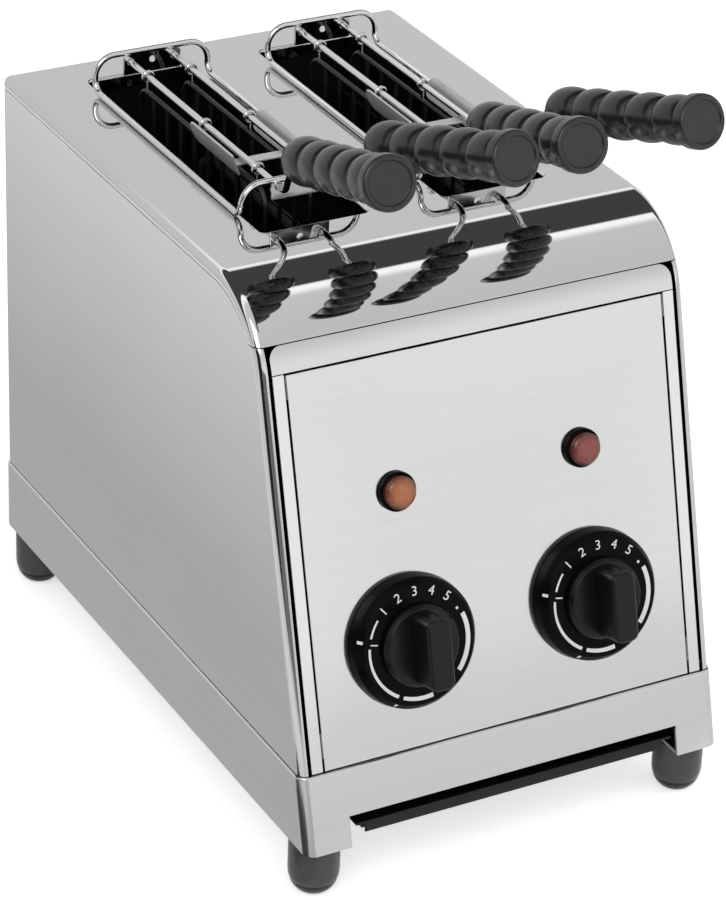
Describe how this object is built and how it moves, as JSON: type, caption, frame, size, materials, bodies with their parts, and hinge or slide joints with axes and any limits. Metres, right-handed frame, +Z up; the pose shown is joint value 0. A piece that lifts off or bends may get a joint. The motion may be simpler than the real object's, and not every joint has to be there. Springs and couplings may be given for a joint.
{
  "type": "toaster with sandwich tongs",
  "caption": "Countertop slot toaster in stainless sheet with a leaning control front, timer knobs and lamps, and wire sandwich tongs with ribbed grips",
  "frame": {"origin": "on the ground, under the middle of the whole object's bounding box", "axes": "+X to the toaster's right as seen from the front, -Y towards the control front, +Z up"},
  "size_m": [0.22, 0.3586, 0.3631],
  "materials": {
    "mirror_steel": "mirror-polished stainless sheet",
    "satin_steel": "satin stainless sheet",
    "plain_steel": "plain mill-finish sheet",
    "bright_wire": "bright drawn stainless wire",
    "spring_steel": "flat spring strip",
    "element_sheath": "dark oxidised element sheath",
    "burnt_steel": "heat-darkened wire and sheet",
    "black_plastic": "black phenolic moulding",
    "rubber": "dark rubber",
    "nylon": "black nylon",
    "red_lens": "translucent red-amber lens",
    "grey_moulding": "grey moulding",
    "ceramic": "white ceramic"
  },
  "bodies": {
    "casing": {"base_band": "satin_steel", "bottom_plate": "satin_steel", "foot_front_left": "rubber", "foot_front_right": "rubber", "foot_rear_left": "rubber", "foot_rear_right": "rubber", "top_cover": "mirror_steel", "left_side_panel": "satin_steel", "right_side_panel": "satin_steel", "rear_panel": "satin_steel", "front_frame": "satin_steel", "front_trim": "mirror_steel", "front_panel": "satin_steel", "front_bulkhead": "plain_steel", "rear_bulkhead": "plain_steel", "left_heat_box": "plain_steel", "right_heat_box": "plain_steel", "left_slot_left_element": "element_sheath", "left_slot_right_element": "element_sheath", "right_slot_left_element": "element_sheath", "right_slot_right_element": "element_sheath", "left_slot_left_guard": "burnt_steel", "left_slot_right_guard": "burnt_steel", "right_slot_left_guard": "burnt_steel", "right_slot_right_guard": "burnt_steel", "terminal_block": "ceramic", "cable_gland": "nylon", "left_dial_plate": "black_plastic", "right_dial_plate": "black_plastic", "left_timer": "grey_moulding", "right_timer": "grey_moulding", "left_lamp_body": "black_plastic", "right_lamp_body": "black_plastic", "left_lamp_lens": "red_lens", "right_lamp_lens": "red_lens"},
    "tray": {"crumb_tray": "burnt_steel"},
    "left_timer_knob": {"left_knob": "black_plastic", "left_timer_shaft": "bright_wire"},
    "right_timer_knob": {"right_knob": "black_plastic", "right_timer_shaft": "bright_wire"},
    "left_tong": {"left_tong_frame": "bright_wire", "left_tong_front_bracket": "bright_wire", "left_tong_rear_bracket": "bright_wire", "left_tong_closing_spring": "spring_steel"},
    "left_tong_left_arm": {"left_tong_left_rod": "bright_wire", "left_tong_left_jaw": "burnt_steel", "left_tong_left_grip": "black_plastic"},
    "left_tong_right_arm": {"left_tong_right_rod": "bright_wire", "left_tong_right_jaw": "burnt_steel", "left_tong_right_grip": "black_plastic"},
    "right_tong": {"right_tong_frame": "bright_wire", "right_tong_front_bracket": "bright_wire", "right_tong_rear_bracket": "bright_wire", "right_tong_closing_spring": "spring_steel"},
    "right_tong_left_arm": {"right_tong_left_rod": "bright_wire", "right_tong_left_jaw": "burnt_steel", "right_tong_left_grip": "black_plastic"},
    "right_tong_right_arm": {"right_tong_right_rod": "bright_wire", "right_tong_right_jaw": "burnt_steel", "right_tong_right_grip": "black_plastic"}
  },
  "joints": [
    {"name": "tray_slide", "type": "slide", "parent": "casing", "child": "tray", "axis": [0, -1, 0], "range_m": [0, 0.24]},
    {"name": "left_timer_turn", "type": "hinge", "parent": "casing", "child": "left_timer_knob", "pos_m": [-0.048, -0.1463, 0.115], "axis": [0, 0.9659, -0.2588], "range_deg": [0, 300]},
    {"name": "right_timer_turn", "type": "hinge", "parent": "casing", "child": "right_timer_knob", "pos_m": [0.048, -0.1463, 0.115], "axis": [0, 0.9659, -0.2588], "range_deg": [0, 300]},
    {"name": "left_tong_lift", "type": "slide", "parent": "casing", "child": "left_tong", "axis": [0, 0, 1], "range_m": [0, 0.15]},
    {"name": "left_tong_left_arm_swing", "type": "hinge", "parent": "left_tong", "child": "left_tong_left_arm", "pos_m": [-0.058, 0.05035, 0.2905], "axis": [0, 1, 0], "range_deg": [-3, 4.3], "stiffness_Nm_per_rad": 0.8},
    {"name": "left_tong_right_arm_swing", "type": "hinge", "parent": "left_tong", "child": "left_tong_right_arm", "pos_m": [-0.035, 0.05035, 0.2905], "axis": [0, -1, 0], "range_deg": [-3, 4.3], "stiffness_Nm_per_rad": 0.8},
    {"name": "right_tong_lift", "type": "slide", "parent": "casing", "child": "right_tong", "axis": [0, 0, 1], "range_m": [0, 0.15]},
    {"name": "right_tong_left_arm_swing", "type": "hinge", "parent": "right_tong", "child": "right_tong_left_arm", "pos_m": [0.035, 0.05035, 0.2905], "axis": [0, 1, 0], "range_deg": [-3, 4.3], "stiffness_Nm_per_rad": 0.8},
    {"name": "right_tong_right_arm_swing", "type": "hinge", "parent": "right_tong", "child": "right_tong_right_arm", "pos_m": [0.058, 0.05035, 0.2905], "axis": [0, -1, 0], "range_deg": [-3, 4.3], "stiffness_Nm_per_rad": 0.8}
  ],
  "couplings": [
    {"joint": "left_tong_right_arm_swing", "follows": "left_tong_left_arm_swing", "ratio": 1},
    {"joint": "right_tong_right_arm_swing", "follows": "right_tong_left_arm_swing", "ratio": 1}
  ]
}
